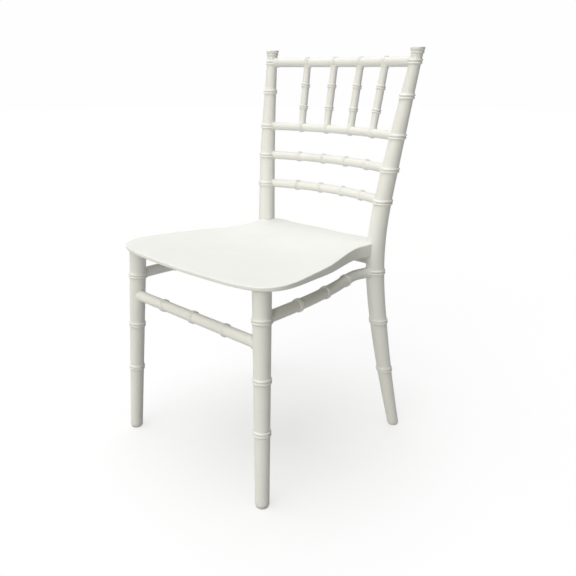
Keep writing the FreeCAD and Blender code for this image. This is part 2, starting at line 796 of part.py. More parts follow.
for side_name, side in SIDES:
    foot = leg_frame(side)[0].Base
    floor_block = below_feet(f"front_{side_name}_floor", foot.x, foot.y)
    final(cut_away(f"front_leg_{side_name}_fitted", legs[side], [
        above_skirt, leg_plugs[side], floor_block, leg_screws[side], glides["front", side],
        stretcher, side_stretchers[side]]), f"front_leg_{side_name}")
    foot = posts[side][1].frame(mm("glide_height")).Base
    floor_block = below_feet(f"rear_{side_name}_floor", foot.x, foot.y)
    final(cut_away(f"rear_post_{side_name}_fitted", posts[side][0], [
        floor_block, glides["rear", side], side_stretchers[side], under_rail,
        *(bent for bent, _ in rails.values())]), f"rear_post_{side_name}")

for label, pair in (("seat_screws_front", leg_screws), ("seat_screws_rear", rail_screws)):
    group = doc.addObject("Part::Compound", f"{label}_pair")
    group.Links = list(pair.values())
    final(group, label)
for glide in glides.values():
    final(glide, glide.Label)

# Check every object, then write one file for each finished piece

doc.recompute()
for obj in doc.Objects:
    if {"Invalid", "Error"} & set(obj.State):
        raise RuntimeError(f"{obj.Label} failed: {obj.State}")
for label, obj in finished.items():
    if obj.Shape.isNull() or not obj.Shape.isValid():
        raise RuntimeError(f"{label} has no valid shape")

os.makedirs("parts", exist_ok=True)
for label, obj in finished.items():
    obj.Shape.exportStep(f"parts/{label}.step")
    box_size = obj.Shape.optimalBoundingBox(False)
    print(f"{label}: {len(obj.Shape.Solids)} solid(s), {obj.Shape.Volume:.0f} mm3, "
          f"x {box_size.XMin:.1f} to {box_size.XMax:.1f}, y {box_size.YMin:.1f} to "
          f"{box_size.YMax:.1f}, z {box_size.ZMin:.1f} to {box_size.ZMax:.1f}")
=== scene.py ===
"""Looks of a moulded chiavari chair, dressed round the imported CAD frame, in metres."""

import logging
import math
from dataclasses import dataclass, field
from enum import Enum

import bmesh
import bpy
from mathutils import Matrix, Vector


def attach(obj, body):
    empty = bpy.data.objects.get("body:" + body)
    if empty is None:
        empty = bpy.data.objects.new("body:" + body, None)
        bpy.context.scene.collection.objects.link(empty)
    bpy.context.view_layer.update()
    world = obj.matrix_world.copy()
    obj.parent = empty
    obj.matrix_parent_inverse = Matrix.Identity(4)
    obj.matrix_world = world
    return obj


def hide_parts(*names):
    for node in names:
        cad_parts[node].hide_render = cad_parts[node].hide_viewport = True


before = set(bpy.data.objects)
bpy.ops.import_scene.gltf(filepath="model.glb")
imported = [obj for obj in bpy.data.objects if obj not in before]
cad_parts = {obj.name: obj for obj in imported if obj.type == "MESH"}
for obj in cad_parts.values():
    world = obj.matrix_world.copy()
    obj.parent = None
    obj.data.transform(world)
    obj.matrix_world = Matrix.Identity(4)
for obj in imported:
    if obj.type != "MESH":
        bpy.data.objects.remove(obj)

log = logging.getLogger("chiavari_chair")
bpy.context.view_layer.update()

RESIN_SLOT = "resin"
ACROSS, FORWARD, UP = Vector((1, 0, 0)), Vector((0, 1, 0)), Vector((0, 0, 1))
LONG_EDGE = 0.1
CLOSEST_MARKS = 0.0001
MARK_DIGITS = 5
FILLET_REACH = 0.007
FILLET_STEP = 0.0009
FILLET_STEPS = 9
# How much thinner a foot is at each height above its end, where its edge is rounded.
FOOT_EDGE = ((0.0, 0.0020), (0.0009, 0.0008), (0.0026, 0.0))


class Side(Enum):
    """Which half of the chair a piece stands on, seen by the sitter."""

    LEFT = 1
    RIGHT = -1

    @property
    def word(self) -> str:
        """The side's name as the nodes spell it."""
        return self.name.lower()


@dataclass
class Bend:
    """A smooth curve through a few places, read by the distance along it."""

    places: list[Vector]

    def __post_init__(self) -> None:
        """Solve the curve's second derivatives, free at both ends."""
        spans = [(b - a).length for a, b in zip(self.places, self.places[1:])]
        self.marks = [0.0]
        for span in spans:
            self.marks.append(self.marks[-1] + span)
        self.length = self.marks[-1]
        count = len(self.places)
        zero = self.places[0] * 0
        upper, right = [0.0] * count, [zero.copy() for _ in range(count)]
        for i in range(1, count - 1):
            slope = (self.places[i + 1] - self.places[i]) / spans[i]
            slope -= (self.places[i] - self.places[i - 1]) / spans[i - 1]
            pivot = 2 * (spans[i - 1] + spans[i]) - spans[i - 1] * upper[i - 1]
            upper[i] = spans[i] / pivot
            right[i] = (slope * 6 - right[i - 1] * spans[i - 1]) / pivot
        self.curls = [zero.copy() for _ in range(count)]
        for i in range(count - 2, 0, -1):
            self.curls[i] = right[i] - self.curls[i + 1] * upper[i]

    def _span(self, distance: float) -> tuple[int, float, float]:
        """Find the span between two places that holds a distance.

        Args:
            distance: Distance along the curve from its first place.

        Returns:
            The span's number, its length and the share of it that is passed.
        """
        index = 0
        while index < len(self.marks) - 2 and distance > self.marks[index + 1]:
            index += 1
        span = self.marks[index + 1] - self.marks[index]
        return index, span, (distance - self.marks[index]) / span

    def point(self, distance: float) -> Vector:
        """The place at a distance along the curve.

        Args:
            distance: Distance along the curve from its first place.

        Returns:
            The place.
        """
        i, span, b = self._span(distance)
        a = 1 - b
        curl = self.curls[i] * (a ** 3 - a) + self.curls[i + 1] * (b ** 3 - b)
        return self.places[i] * a + self.places[i + 1] * b + curl * (span ** 2 / 6)

    def heading(self, distance: float) -> Vector:
        """The unit direction of travel at a distance along the curve.

        Args:
            distance: Distance along the curve from its first place.

        Returns:
            The direction, of length 1.
        """
        i, span, b = self._span(distance)
        a = 1 - b
        curl = self.curls[i + 1] * (3 * b * b - 1) - self.curls[i] * (3 * a * a - 1)
        return ((self.places[i + 1] - self.places[i]) / span + curl * (span / 6)).normalized()

    def where(self, axis: int, wanted: float) -> float:
        """Find the distance at which one coordinate has the wanted value.

        Args:
            axis: Number of the coordinate, which only grows along the curve.
            wanted: Its value at the place that is looked for.

        Returns:
            The distance along the curve.
        """
        low, high = 0.0, self.length
        for _ in range(40):
            middle = (low + high) / 2
            if self.point(middle)[axis] < wanted:
                low = middle
            else:
                high = middle
        return low


@dataclass
class Ring:
    """A double ring: two soft crests with a groove between, round a member."""

    at: float
    half_width: float = 0.0062
    stand: float = 0.0024
    groove: float = 0.12
    crest_power: float = 2.4
    margin: float = 0.0004
    steps: int = 26

    def rise(self, distance: float) -> float:
        """How far the ring stands proud of the member at a distance along it.

        Args:
            distance: Distance along the member.

        Returns:
            The height of the crests there, below 0 in a deep groove.
        """
        across = abs(distance - self.at) / self.half_width
        if across >= 1:
            return 0.0
        crest = 1 - abs(2 * across - 1) ** self.crest_power
        if across < 0.5:
            crest = self.groove + (1 - self.groove) * crest
        return self.stand * crest

    def stations(self) -> list[float]:
        """Distances close enough together to draw the ring's crests."""
        reach = self.half_width + self.margin
        return [self.at - reach + 2 * reach * i / self.steps for i in range(self.steps + 1)]


@dataclass
class Knuckle(Ring):
    """The narrower double ring of rails, rungs and spindles, grooved down to the member."""

    half_width: float = 0.0051
    groove: float = -0.2


@dataclass(frozen=True)
class ResinFinish:
    """Matt moulded resin: body colour, the cast of its cloudier parts and its skin."""

    name: str
    body: tuple[float, float, float]
    cloud: tuple[float, float, float]
    roughness: tuple[float, float] = (0.44, 0.56)
    grain: float = 1500.0
    grain_depth: float = 0.00006
    grain_strength: float = 0.35
    clouds: float = 11.0
    ior: float = 1.49
    specular: float = 0.34


@dataclass(frozen=True)
class MetalFinish:
    """Bright plated steel with fine turning marks."""

    name: str
    colour: tuple[float, float, float]
    roughness: tuple[float, float] = (0.28, 0.42)
    marks: float = 900.0


@dataclass(frozen=True)
class FloorFinish:
    """Plain pale studio floor, with its glow in the room and towards the camera."""

    name: str
    colour: tuple[float, float, float]
    room_glow: float
    seen_glow: float
    roughness: float = 0.9


IVORY_RESIN = ResinFinish("ivory_resin", (0.80, 0.80, 0.775), (0.78, 0.78, 0.75))
GLIDE_RESIN = ResinFinish("glide_resin", (0.70, 0.70, 0.65), (0.62, 0.62, 0.57), (0.5, 0.7),
                          700.0, 0.00012)
ZINC_STEEL = MetalFinish("zinc_steel", (0.62, 0.62, 0.60))
PALE_FLOOR = FloorFinish("pale_floor", (0.34, 0.34, 0.34), 0.05, 0.612)


class Finisher:
    """Builds each material once and hands it out."""

    grain_detail, cloud_detail, flow_detail = 3.0, 2.0, 4.0
    flow_swirl = 0.6
    flow_scale = (34.0, 34.0, 9.0)
    noise_middle = (0.3, 0.7)

    def __init__(self) -> None:
        """Make the node group that every moulded surface shares."""
        self.made: dict[str, bpy.types.Material] = {}
        self.skin = self._skin_group()

    def _skin_group(self) -> bpy.types.NodeTree:
        """Fine spark-eroded grain, slow clouds of tint and drawn-out flow marks.

        Returns:
            The node group, with values that change over the surface.
        """
        group = bpy.data.node_groups.new("moulded_skin", "ShaderNodeTree")
        face = group.interface
        face.new_socket("Vector", in_out="INPUT", socket_type="NodeSocketVector")
        face.new_socket("Grain", in_out="INPUT", socket_type="NodeSocketFloat")
        face.new_socket("Clouds", in_out="INPUT", socket_type="NodeSocketFloat")
        for name in ("Cloud", "Flow", "Height"):
            face.new_socket(name, in_out="OUTPUT", socket_type="NodeSocketFloat")
        nodes, links = group.nodes, group.links
        source, drain = nodes.new("NodeGroupInput"), nodes.new("NodeGroupOutput")
        grain, cloud, flow = (nodes.new("ShaderNodeTexNoise") for _ in range(3))
        grain.inputs["Detail"].default_value = self.grain_detail
        cloud.inputs["Detail"].default_value = self.cloud_detail
        flow.inputs["Detail"].default_value = self.flow_detail
        flow.inputs["Distortion"].default_value = self.flow_swirl
        stretch = nodes.new("ShaderNodeMapping")
        stretch.inputs["Scale"].default_value = self.flow_scale
        flow.inputs["Scale"].default_value = 1.0
        links.new(source.outputs["Vector"], grain.inputs["Vector"])
        links.new(source.outputs["Vector"], cloud.inputs["Vector"])
        links.new(source.outputs["Vector"], stretch.inputs["Vector"])
        links.new(stretch.outputs["Vector"], flow.inputs["Vector"])
        links.new(source.outputs["Grain"], grain.inputs["Scale"])
        links.new(source.outputs["Clouds"], cloud.inputs["Scale"])
        links.new(cloud.outputs["Fac"], drain.inputs["Cloud"])
        links.new(flow.outputs["Fac"], drain.inputs["Flow"])
        links.new(grain.outputs["Fac"], drain.inputs["Height"])
        return group

    def _start(self, name: str) -> tuple[bpy.types.Material, bpy.types.Node]:
        """Start an empty node material.

        Args:
            name: The finish's name.

        Returns:
            The material and its Principled BSDF.
        """
        material = bpy.data.materials.new(name)
        material.use_nodes = True
        self.made[name] = material
        return material, material.node_tree.nodes["Principled BSDF"]

    def _spread(self, material: bpy.types.Material, source: bpy.types.NodeSocket,
                target: bpy.types.NodeSocket, low: float, high: float) -> None:
        """Map the middle of a noise onto a range of values.

        Args:
            material: The material that gets the node.
            source: The noise value.
            target: The socket to feed.
            low: Value at the noise's low end.
            high: Value at its high end.
        """
        spread = material.node_tree.nodes.new("ShaderNodeMapRange")
        spread.inputs["From Min"].default_value = self.noise_middle[0]
        spread.inputs["From Max"].default_value = self.noise_middle[1]
        spread.inputs["To Min"].default_value = low
        spread.inputs["To Max"].default_value = high
        material.node_tree.links.new(source, spread.inputs["Value"])
        material.node_tree.links.new(spread.outputs["Result"], target)

    def resin(self, finish: ResinFinish) -> bpy.types.Material:
        """Moulded resin with a fine matt grain, faint clouds and flow marks in its gloss.

        Args:
            finish: The resin's colours and skin.

        Returns:
            The material, built at the first call for it.
        """
        if finish.name in self.made:
            return self.made[finish.name]
        material, shader = self._start(finish.name)
        nodes, links = material.node_tree.nodes, material.node_tree.links
        place = nodes.new("ShaderNodeTexCoord")
        skin = nodes.new("ShaderNodeGroup")
        skin.node_tree = self.skin
        skin.inputs["Grain"].default_value = finish.grain
        skin.inputs["Clouds"].default_value = finish.clouds
        links.new(place.outputs["Object"], skin.inputs["Vector"])
        tint = nodes.new("ShaderNodeMix")
        tint.data_type = "RGBA"
        tint.inputs["A"].default_value = (*finish.body, 1)
        tint.inputs["B"].default_value = (*finish.cloud, 1)
        self._spread(material, skin.outputs["Cloud"], tint.inputs["Factor"], 0.0, 1.0)
        links.new(tint.outputs["Result"], shader.inputs["Base Color"])
        self._spread(material, skin.outputs["Flow"], shader.inputs["Roughness"],
                     *finish.roughness)
        bump = nodes.new("ShaderNodeBump")
        bump.inputs["Strength"].default_value = finish.grain_strength
        bump.inputs["Distance"].default_value = finish.grain_depth
        links.new(skin.outputs["Height"], bump.inputs["Height"])
        links.new(bump.outputs["Normal"], shader.inputs["Normal"])
        shader.inputs["IOR"].default_value = finish.ior
        shader.inputs["Specular IOR Level"].default_value = finish.specular
        return material

    def metal(self, finish: MetalFinish) -> bpy.types.Material:
        """Plated steel whose roughness follows fine turning marks.

        Args:
            finish: The metal's colour and gloss.

        Returns:
            The material, built at the first call for it.
        """
        if finish.name in self.made:
            return self.made[finish.name]
        material, shader = self._start(finish.name)
        nodes, links = material.node_tree.nodes, material.node_tree.links
        place = nodes.new("ShaderNodeTexCoord")
        noise = nodes.new("ShaderNodeTexNoise")
        noise.inputs["Scale"].default_value = finish.marks
        links.new(place.outputs["Object"], noise.inputs["Vector"])
        self._spread(material, noise.outputs["Fac"], shader.inputs["Roughness"],
                     *finish.roughness)
        shader.inputs["Base Color"].default_value = (*finish.colour, 1)
        shader.inputs["Metallic"].default_value = 1.0
        return material

    def floor(self, finish: FloorFinish) -> bpy.types.Material:
        """A pale floor that keeps shadows but shows near white to the camera.

        Args:
            finish: The floor's colour and glows.

        Returns:
            The material.
        """
        material, shader = self._start(finish.name)
        nodes, links = material.node_tree.nodes, material.node_tree.links
        shader.inputs["Base Color"].default_value = (*finish.colour, 1)
        shader.inputs["Roughness"].default_value = finish.roughness
        shader.inputs["Specular IOR Level"].default_value = 0.0
        seen = nodes.new("ShaderNodeLightPath")
        any_ray = nodes.new("ShaderNodeMath")
        any_ray.operation = "MAXIMUM"
        links.new(seen.outputs["Is Camera Ray"], any_ray.inputs[0])
        links.new(seen.outputs["Is Glossy Ray"], any_ray.inputs[1])
        lift = nodes.new("ShaderNodeMath")
        lift.operation = "MULTIPLY_ADD"
        lift.inputs[1].default_value = finish.seen_glow - finish.room_glow
        lift.inputs[2].default_value = finish.room_glow
        links.new(any_ray.outputs["Value"], lift.inputs[0])
        shader.inputs["Emission Color"].default_value = (1, 1, 1, 1)
        links.new(lift.outputs["Value"], shader.inputs["Emission Strength"])
        return material


FINISHER = Finisher()


def settle_order(shape: bmesh.types.BMesh) -> None:
    """Put edges and faces in the order of their corners, so that each run gives the same mesh.

    Blender's extrusion adds them in an order that changes from run to run.

    Args:
        shape: The shape, whose corners keep their order.
    """
    shape.verts.index_update()
    for parts in (shape.edges, shape.faces):
        ranked = sorted(parts, key=lambda part: sorted(vert.index for vert in part.verts))
        for rank, part in enumerate(ranked):
            part.index = rank
        parts.sort()


def finish_piece(shape: bmesh.types.BMesh, name: str, material: bpy.types.Material,
                 slot: str, *nodes: str) -> bpy.types.Object:
    """Turn a built shape into a piece of the chair.

    Args:
        shape: The closed shape, in place. It is freed.
        name: The piece's name.
        material: Its finish.
        slot: Name of the material slot that it belongs to. It is not used.
        nodes: The CAD nodes that it stands for.

    Returns:
        The new object, riding on the chair's one body.
    """
    settle_order(shape)
    bmesh.ops.recalc_face_normals(shape, faces=shape.faces)
    mesh = bpy.data.meshes.new(name)
    for face in shape.faces:
        face.smooth = True
    shape.to_mesh(mesh)
    shape.free()
    mesh.materials.append(material)
    piece = bpy.data.objects.new(name, mesh)
    bpy.context.scene.collection.objects.link(piece)
    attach(piece, "root")
    if nodes:
        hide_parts(*nodes)
    log.info("%s: %d faces", name, len(mesh.polygons))
    return piece


@dataclass
class Member:
    """A round moulded member: a radius that changes along a bend, with rings on it.

    Its fillets flare out where it leaves its housings, which reach that far in from the ends
    of its bend. A post is drawn in level circles, and stands upright from a distance on.
    """

    name: str
    bend: Bend
    radii: list[tuple[float, float]]
    rings: list[Ring]
    sides: int
    facing: Vector = field(default_factory=UP.copy)
    step: float = 0.010
    flare: float = 0.0
    housing: tuple[float, float] = (0.0, 0.0)
    upright_from: float | None = None

    def radius(self, distance: float) -> float:
        """The member's radius at a distance, with its rings and its root fillets.

        Args:
            distance: Distance along the bend.

        Returns:
            The radius there.
        """
        value = self.radii[-1][1]
        for (near, first), (far, second) in zip(self.radii, self.radii[1:]):
            if distance <= far:
                share = max(0.0, (distance - near) / (far - near)) if far > near else 1.0
                value = first + (second - first) * share
                break
        # A groove stops at the member's own surface, because the other rings' rise is 0 there.
        value += max([ring.rise(distance) for ring in self.rings], default=0.0)
        if self.flare:
            for gap in (distance - self.housing[0],
                        self.bend.length - self.housing[1] - distance):
                value += self.flare * max(0.0, 1 - max(gap, 0.0) / FILLET_REACH) ** 2
        return value

    def stations(self) -> list[float]:
        """Distances to draw the member at: even steps, the radii's own and the rings'.

        Returns:
            The distances in order, none closer together than the eye can tell.
        """
        steps = max(2, round(self.bend.length / self.step))
        marks = [self.bend.length * i / steps for i in range(steps + 1)]
        marks += [distance for distance, _ in self.radii]
        for ring in self.rings:
            marks += ring.stations()
        if self.flare:
            for i in range(FILLET_STEPS):
                marks.append(self.housing[0] + i * FILLET_STEP)
                marks.append(self.bend.length - self.housing[1] - i * FILLET_STEP)
        rounded = sorted({round(mark, MARK_DIGITS) for mark in marks})
        inside = [mark for mark in rounded if 0 <= mark <= self.bend.length]
        return [mark for i, mark in enumerate(inside)
                if i == 0 or mark - inside[i - 1] > CLOSEST_MARKS]

    def frame(self, distance: float) -> Matrix:
        """The placement whose Z axis runs along the member, or up a post, at a distance.

        Args:
            distance: Distance along the bend.

        Returns:
            The placement of the circle there.
        """
        if self.upright_from is not None:
            over = max(0.0, distance - self.upright_from)
            return Matrix.Translation(self.bend.point(distance - over) + UP * over)
        upright = UP.rotation_difference(self.facing)
        turn = self.facing.rotation_difference(self.bend.heading(distance)) @ upright
        return Matrix.Translation(self.bend.point(distance)) @ turn.to_matrix().to_4x4()

    def add_to(self, shape: bmesh.types.BMesh) -> None:
        """Draw the member into a shape, ring of edges by ring of edges.

        Args:
            shape: The shape, which gets the member as a closed shell.
        """
        marks = self.stations()
        place, radius = self.frame(marks[0]), self.radius(marks[0])
        made = bmesh.ops.create_circle(shape, cap_ends=False, radius=radius,
                                       segments=self.sides, matrix=place)
        loop = list(dict.fromkeys(edge for vert in made["verts"] for edge in vert.link_edges))
        bmesh.ops.contextual_create(shape, geom=loop)
        for mark in marks[1:]:
            grown = bmesh.ops.extrude_edge_only(shape, edges=loop)["geom"]
            verts = {item for item in grown if isinstance(item, bmesh.types.BMVert)}
            loop = [item for item in grown if isinstance(item, bmesh.types.BMEdge)
                    and set(item.verts) <= verts]
            new_place, new_radius = self.frame(mark), self.radius(mark)
            move = new_place @ Matrix.Scale(new_radius / radius, 4) @ place.inverted()
            bmesh.ops.transform(shape, matrix=move, verts=list(verts))
            place, radius = new_place, new_radius
        bmesh.ops.contextual_create(shape, geom=loop)

    def build(self, node: str) -> bpy.types.Object:
        """Draw the member as a piece of its own, in ivory resin.

        Args:
            node: The CAD node that it stands for.

        Returns:
            The new object.
        """
        shape = bmesh.new()
        self.add_to(shape)
        return finish_piece(shape, self.name, FINISHER.resin(IVORY_RESIN), RESIN_SLOT, node)


@dataclass
class BackFrame:
    """Rear posts with their finials, the four bowed rails and the spindles."""

    post_places: tuple[tuple[float, float, float], ...] = (
        (0.2360, 0.1964, 0.0030), (0.2155, 0.1744, 0.1560), (0.1990, 0.1629, 0.2820),
        (0.1835, 0.1624, 0.4030), (0.1820, 0.1644, 0.4700), (0.1955, 0.1839, 0.6400),
        (0.2198, 0.2295, 0.8880),
    )
    post_radii: tuple[float, ...] = (0.0138, 0.0174, 0.0202, 0.0216, 0.0213, 0.0191, 0.0140)
    ring_heights: tuple[float, ...] = (0.156, 0.282, 0.403, 0.567, 0.639, 0.712, 0.797, 0.869)
    leg_ring_stand: float = 0.0024
    back_ring_stand: float = 0.0030
    back_from: float = 0.5
    top: float = 0.8989
    # The finial: rise above the crown, and how much wider than the crown it is there.
    finial: tuple[tuple[float, float], ...] = (
        (-0.0120, -0.0012), (-0.0060, -0.0010), (-0.0042, -0.0009), (-0.0036, -0.0013),
        (-0.0030, -0.0012), (-0.0024, -0.0001), (-0.0016, 0.0006), (-0.0006, 0.0010),
        (0.0006, 0.0010), (0.0014, 0.0006), (0.0020, -0.0004), (0.0025, -0.0006),
        (0.0030, 0.0000), (0.0036, 0.0011), (0.0050, 0.0014), (0.0070, 0.0017),
        (0.0088, 0.0019), (0.0096, 0.0018), (0.0102, 0.0014), (0.0106, 0.0008),
        (0.0108, 0.0001),
    )
    finial_middle: float = 0.0025
    post_sides: int = 48
    rails: dict[str, tuple[float, float]] = field(default_factory=lambda: {
        "crest_rail": (0.869, 0.0110), "spindle_rail": (0.712, 0.0100),
        "upper_back_rail": (0.639, 0.0104), "lower_back_rail": (0.567, 0.0106)})
    bow: float = 0.042
    arc_steps: int = 8
    knuckle_count: int = 4
    knuckle_share: float = 0.36
    rail_sides: int = 36
    rail_flare: float = 0.0014
    rail_housing: tuple[float, float] = (0.0165, 0.0165)
    spindle_radius: float = 0.0090
    spindle_end_radius: float = 0.0083
    spindle_belly: tuple[float, float] = (0.48, 0.0003)
    spindle_rings: tuple[float, float] = (0.31, 0.645)
    spindle_ring_stand: float = 0.0025
    spindle_sides: int = 32
    spindle_flare: float = 0.0016
    spindle_housing: tuple[float, float] = (0.0100, 0.0110)

    def post_bend(self, side: Side) -> Bend:
        """The axis of one rear post, run straight on through the finial.

        Args:
            side: The half of the chair it stands on.

        Returns:
            The axis, from foot to top.
        """
        places = [Vector((side.value * x, y, z)) for x, y, z in self.post_places]
        rise = Bend(places).heading(Bend(places).length)
        crown = places[-1]
        reach = self.top - crown.z
        return Bend(places + [crown + rise * reach * 0.5, crown + rise * reach])

    def post(self, side: Side) -> Member:
        """One rear post with rings at every rail and a flat cap over a bead.

        Args:
            side: The half of the chair it stands on.

        Returns:
            The post.
        """
        bend = self.post_bend(side)
        radii = [(mark, self.post_radii[0] - less) for mark, less in FOOT_EDGE]
        radii += [(bend.where(2, place[2]), radius)
                  for place, radius in zip(self.post_places[1:-1], self.post_radii[1:-1])]
        crown = bend.where(2, self.post_places[-1][2])
        radii += [(crown + rise, self.post_radii[-1] + wider) for rise, wider in self.finial]
        radii += [(bend.length, self.finial_middle)]
        rings = []
        for height in self.ring_heights:
            stand = self.back_ring_stand if height > self.back_from else self.leg_ring_stand
            rings.append(Ring(bend.where(2, height), stand=stand))
        return Member(f"post_{side.word}", bend, radii, rings, self.post_sides,
                      upright_from=crown)

    def rail_bend(self, height: float) -> Bend:
        """The bowed axis of a rail, from one post's axis to the other's.

        Args:
            height: Height of the rail above the floor.

        Returns:
            The axis, a level arc.
        """
        end = self.post_bend(Side.LEFT)
        mark = end.where(2, height)
        tip = end.point(mark)
        radius = (tip.x ** 2 + self.bow ** 2) / (2 * self.bow)
        half = math.asin(tip.x / radius)
        centre = Vector((0, tip.y + self.bow - radius, height))
        arc = [centre + Vector((radius * math.sin(a), radius * math.cos(a), 0))
               for a in (half * i / self.arc_steps
                         for i in range(-self.arc_steps, self.arc_steps + 1))]
        return Bend(arc)

    def knuckles(self, bend: Bend) -> list[float]:
        """Distances of a rail's evenly pitched knuckles.

        Args:
            bend: The rail's axis.

        Returns:
            The distances along it, in order.
        """
        pitch = bend.length / 2 * self.knuckle_share
        first = (1 - self.knuckle_count) / 2
        return [bend.length / 2 + pitch * (first + i) for i in range(self.knuckle_count)]

    def build(self) -> None:
        """Build the posts, rails and spindles."""
        for side in Side:
            self.post(side).build(f"rear_post_{side.word}")
        bends = {node: self.rail_bend(height) for node, (height, _) in self.rails.items()}
        for node, (_, radius) in self.rails.items():
            bend = bends[node]
            rings = [Knuckle(mark) for mark in self.knuckles(bend)]
            Member(f"{node}_rod", bend, [(0, radius), (bend.length, radius)], rings,
                   self.rail_sides, ACROSS, flare=self.rail_flare, housing=self.rail_housing
                   ).build(node)
        lower, upper = bends["spindle_rail"], bends["crest_rail"]
        feet, heads = reversed(self.knuckles(lower)), reversed(self.knuckles(upper))
        for number, (foot, head) in enumerate(zip(feet, heads), start=1):
            self.spindle(number, lower.point(foot), upper.point(head)).build(
                f"back_spindle_{number}")

    def spindle(self, number: int, foot: Vector, head: Vector) -> Member:
        """One spindle between the two upper rails.

        Args:
            number: Its place in the row, from the sitter's left.
            foot: Its lower end, on the lower rail's axis.
            head: Its upper end, on the crest rail's axis.

        Returns:
            The spindle, thickest between its two rings.
        """
        bend = Bend([foot, foot.lerp(head, 0.5), head])
        rings = [Knuckle(bend.length * share, stand=self.spindle_ring_stand)
                 for share in self.spindle_rings]
        low, high = self.spindle_rings
        middle, swell = self.spindle_belly
        radii = [(0, self.spindle_end_radius), (bend.length * low, self.spindle_radius),
                 (bend.length * middle, self.spindle_radius + swell),
                 (bend.length * high, self.spindle_radius),
                 (bend.length, self.spindle_end_radius)]
        return Member(f"spindle_{number}", bend, radii, rings, self.spindle_sides,
                      flare=self.spindle_flare, housing=self.spindle_housing)


@dataclass
class FrontLegs:
    """Splayed front legs and the stretcher between them."""

    foot: tuple[float, float] = (0.2280, -0.2596)
    head: tuple[float, float] = (0.2050, -0.2296)
    foot_height: float = 0.003
    head_height: float = 0.466
    foot_radius: float = 0.0149
    head_radius: float = 0.0192
    ring_heights: tuple[float, ...] = (0.162, 0.274, 0.396)
    ring_stand: float = 0.0024
    leg_sides: int = 48
    stretcher_height: float = 0.350
    stretcher_radius: float = 0.0120
    stretcher_sides: int = 36
    stretcher_flare: float = 0.0022
    stretcher_housing: tuple[float, float] = (0.0185, 0.0185)
    knuckle_pitch: float = 0.104

    def bend(self, side: Side) -> Bend:
        """The straight axis of one leg, from foot to head.

        Args:
            side: The half of the chair it stands on.

        Returns:
            The axis.
        """
        foot = Vector((side.value * self.foot[0], self.foot[1], self.foot_height))
        head = Vector((side.value * self.head[0], self.head[1], self.head_height))
        return Bend([foot, foot.lerp(head, 0.5), head])

    def build(self) -> None:
        """Build both legs and the stretcher."""
        for side in Side:
            bend = self.bend(side)
            radii = [(mark, self.foot_radius - less) for mark, less in FOOT_EDGE]
            radii += [(bend.length, self.head_radius)]
            rings = [Ring(bend.where(2, self.foot_height + height), stand=self.ring_stand)
                     for height in self.ring_heights]
            Member(f"leg_{side.word}", bend, radii, rings, self.leg_sides).build(
                f"front_leg_{side.word}")
        ends = []
        for side in (Side.RIGHT, Side.LEFT):
            bend = self.bend(side)
            ends.append(bend.point(bend.where(2, self.stretcher_height)))
        bend = Bend([ends[0], ends[0].lerp(ends[1], 0.5), ends[1]])
        rings = [Knuckle(bend.length / 2 + step * self.knuckle_pitch) for step in (-1, 0, 1)]
        radii = [(0, self.stretcher_radius), (bend.length, self.stretcher_radius)]
        Member("front_rung", bend, radii, rings, self.stretcher_sides, ACROSS,
               flare=self.stretcher_flare, housing=self.stretcher_housing
               ).build("front_stretcher")


@dataclass
class SideStretchers:
    """Level rods that follow the waist of the seat from leg to post."""

    legs: FrontLegs
    back: BackFrame
    height: float = 0.401
    radius: float = 0.0122
    # Plan of the left rod between its ends: the first three places carry its knuckles.
    stations: tuple[tuple[float, float], ...] = (
        (0.2045, -0.1286), (0.1940, -0.0316), (0.1750, 0.0604), (0.1670, 0.1114))
    knuckle_count: int = 3
    sides: int = 36
    flare: float = 0.0022
    housing: tuple[float, float] = (0.0195, 0.0205)

    def build(self) -> None:
        """Build the left and the right rod."""
        for side in Side:
            leg, post = self.legs.bend(side), self.back.post_bend(side)
            start = leg.point(leg.where(2, self.height))
            end = post.point(post.where(2, self.height))
            middle = [Vector((side.value * x, y, self.height)) for x, y in self.stations]
            bend = Bend([start, *middle, end])
            rings = [Knuckle(bend.where(1, place.y)) for place in middle[:self.knuckle_count]]
            radii = [(0, self.radius), (bend.length, self.radius)]
            Member(f"side_rung_{side.word}", bend, radii, rings, self.sides, FORWARD,
                   flare=self.flare, housing=self.housing
                   ).build(f"side_stretcher_{side.word}")


